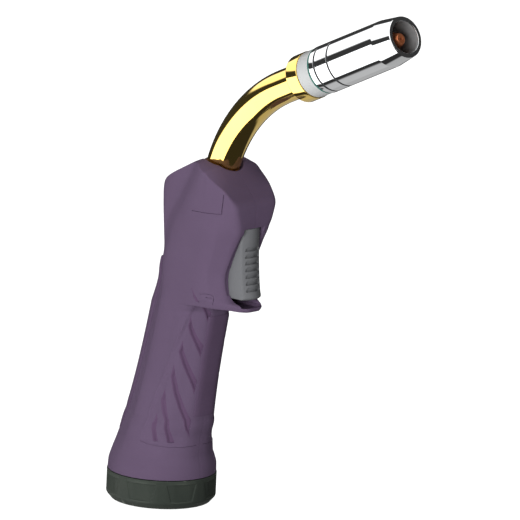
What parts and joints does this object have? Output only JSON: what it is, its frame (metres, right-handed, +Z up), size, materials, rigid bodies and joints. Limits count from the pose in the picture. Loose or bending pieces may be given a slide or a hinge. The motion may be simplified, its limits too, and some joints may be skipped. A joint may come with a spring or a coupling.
{
  "type": "MIG welding torch",
  "caption": "Gas-cooled MIG welding torch: leaning pistol handle with trigger and finger guard, bent polished neck and push-on tapered gas nozzle.",
  "frame": {"origin": "centre of the cable inlet's bore, at the rear ring's end face", "axes": "+Z up the ring's axis towards the head, +X forward, the way the nozzle points, +Y to the left side of the torch"},
  "size_m": [0.1726, 0.0508, 0.2533],
  "materials": {
    "shell_plastic": "satin moulded purple",
    "grip_rubber": "soft purple overmould",
    "ring_plastic": "satin dark green",
    "black_plastic": "moulded black",
    "screw_steel": "plain steel",
    "trigger_plastic": "satin grey",
    "plunger_plastic": "dark red",
    "bare_brass": "turned brass",
    "polished_brass": "mirror polished",
    "copper": "bright copper",
    "seal_rubber": "black rubber",
    "white_insulator": "ivory white",
    "teal_seal": "teal rubber",
    "nozzle_chrome": "bright plated"
  },
  "bodies": {
    "handle": {"handle_shell_right": "shell_plastic", "handle_shell_left": "shell_plastic", "rear_grip_pad": "grip_rubber", "front_grip_pad": "grip_rubber", "cable_inlet_bush": "black_plastic", "handle_screws": "screw_steel", "trigger_pin": "screw_steel", "microswitch_body": "black_plastic", "switch_screws": "screw_steel", "switch_terminals": "bare_brass", "neck_bush": "black_plastic", "swan_neck": "polished_brass", "neck_insulation": "black_plastic", "inner_conductor": "copper", "wire_liner": "screw_steel", "neck_lock_nut": "bare_brass", "power_block": "bare_brass", "block_o_ring": "seal_rubber", "gas_barb": "bare_brass", "neck_collar": "polished_brass", "insulator_ring": "white_insulator", "seal_ring": "teal_seal", "tip_holder": "bare_brass", "gas_diffuser": "white_insulator", "nozzle_clip_ring": "screw_steel", "contact_tip": "copper"},
    "locking_ring": {"locking_ring": "ring_plastic"},
    "trigger": {"trigger": "trigger_plastic"},
    "plunger": {"switch_plunger": "plunger_plastic"},
    "nozzle": {"gas_nozzle": "nozzle_chrome", "nozzle_insulation": "white_insulator", "nozzle_insert": "bare_brass"}
  },
  "joints": [
    {"name": "locking_ring_turn", "type": "hinge", "parent": "handle", "child": "locking_ring", "pos_m": [0, 0, 0], "axis": [0, 0, 1], "range_deg": [0, 45]},
    {"name": "trigger_press", "type": "hinge", "parent": "handle", "child": "trigger", "pos_m": [0.0455, 0, 0.1335], "axis": [0, 1, 0], "range_deg": [0, 5], "stiffness_Nm_per_rad": 0.25, "springref_deg": -5.73},
    {"name": "plunger_push", "type": "slide", "parent": "handle", "child": "plunger", "axis": [-1, 0, 0], "range_m": [0, 0.0014]},
    {"name": "nozzle_slide", "type": "slide", "parent": "handle", "child": "nozzle", "axis": [0.8949, 0, 0.4462], "range_m": [0, 0.014]}
  ],
  "couplings": [
    {"joint": "plunger_push", "follows": "trigger_press", "m_per_rad": 0.0155}
  ]
}
